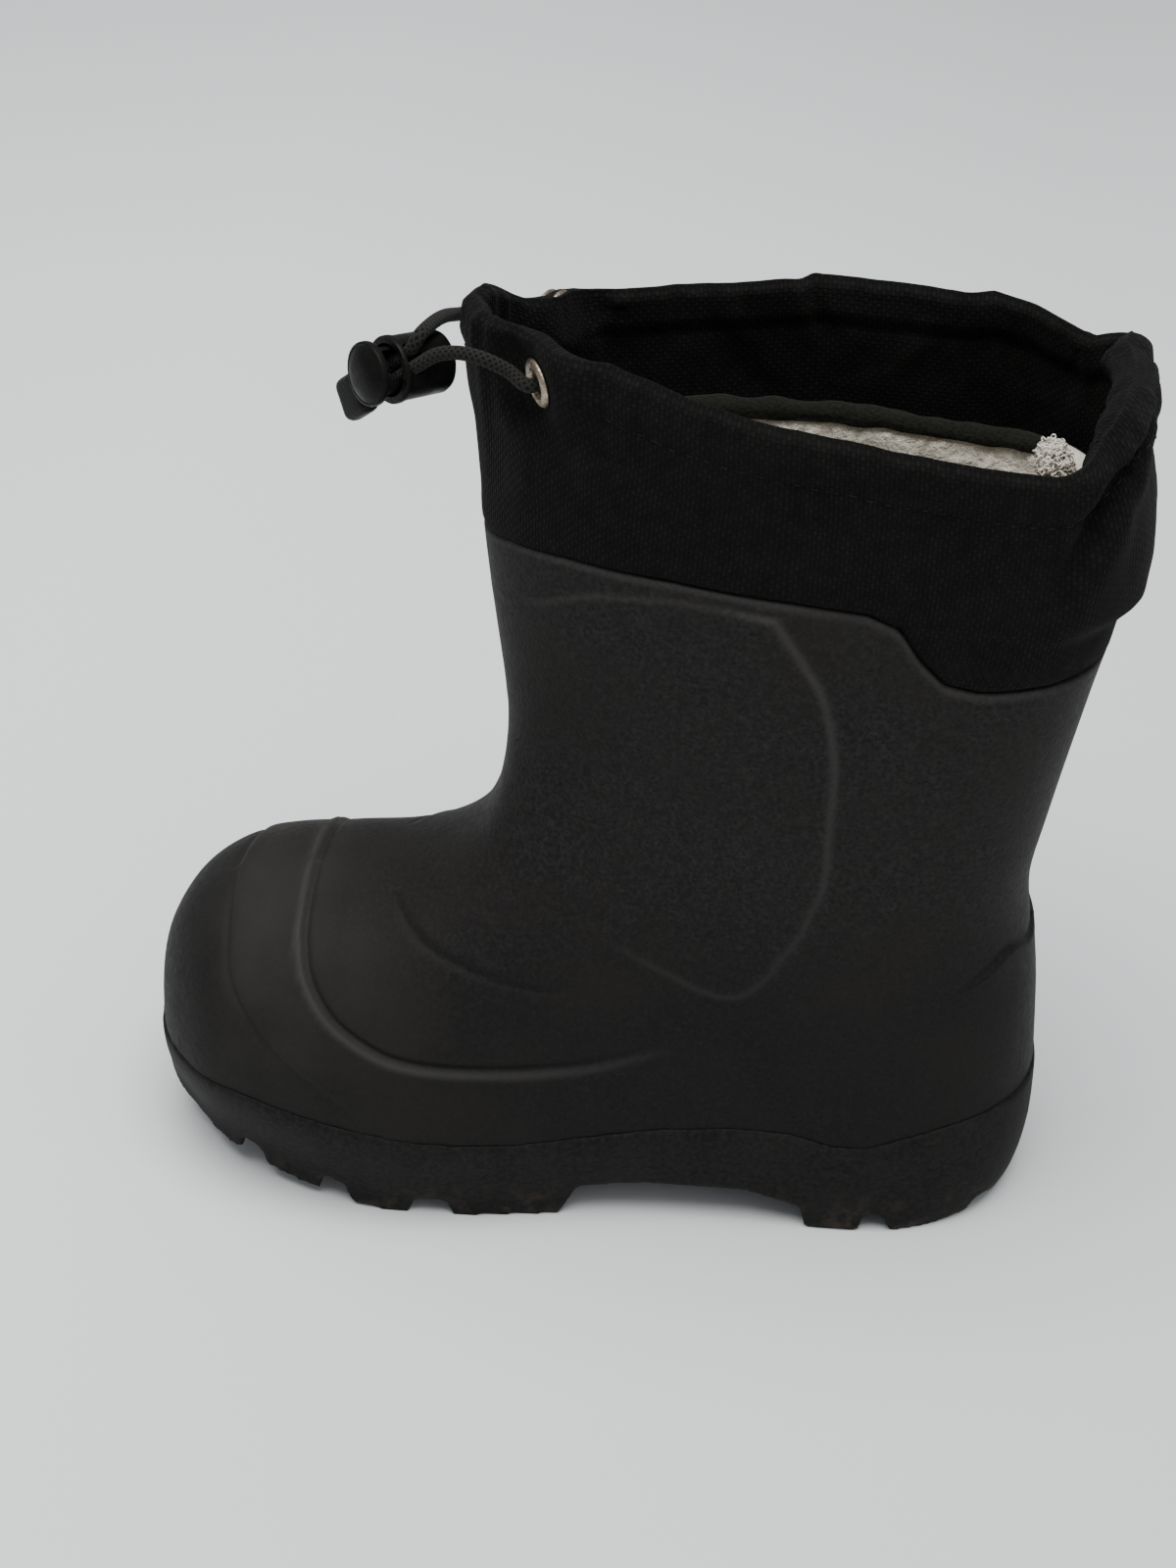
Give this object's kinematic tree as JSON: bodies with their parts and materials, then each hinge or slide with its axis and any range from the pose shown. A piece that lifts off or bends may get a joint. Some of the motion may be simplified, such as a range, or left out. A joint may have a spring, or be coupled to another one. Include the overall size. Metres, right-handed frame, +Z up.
{
  "type": "snow boot",
  "caption": "Child's moulded foam snow boot with a lugged sole, wool liner, gathered cloth cuff, and an elastic drawcord held by a sprung cord lock.",
  "frame": {"origin": "centre of the boot's footprint box, on the floor under the sole", "axes": "+Z up, -Y towards the toe, +X towards the outer side of the left foot"},
  "size_m": [0.0809, 0.2068, 0.205],
  "materials": {
    "shell_foam": "satin moulded foam with a fine grain",
    "sole_foam": "matt moulded foam",
    "liner_wool": "felted wool pile",
    "cuff_cloth": "plain woven oxford cloth",
    "eyelet_metal": "aged satin plating",
    "elastic_cord": "braided cover",
    "lock_plastic": "semi-gloss moulded"
  },
  "bodies": {
    "boot": {"upper": "shell_foam", "outsole": "sole_foam", "liner": "liner_wool", "cuff": "cuff_cloth", "eyelet_outer": "eyelet_metal", "eyelet_inner": "eyelet_metal", "drawcord_outer": "elastic_cord", "drawcord_inner": "elastic_cord", "lock_barrel": "lock_plastic", "cord_end": "lock_plastic"},
    "button": {"lock_button": "lock_plastic"}
  },
  "joints": [
    {"name": "button_press", "type": "slide", "parent": "boot", "child": "button", "axis": [-0.6952, 0.7112, -0.104], "range_m": [0, 0.0032], "stiffness_N_per_m": 300}
  ]
}
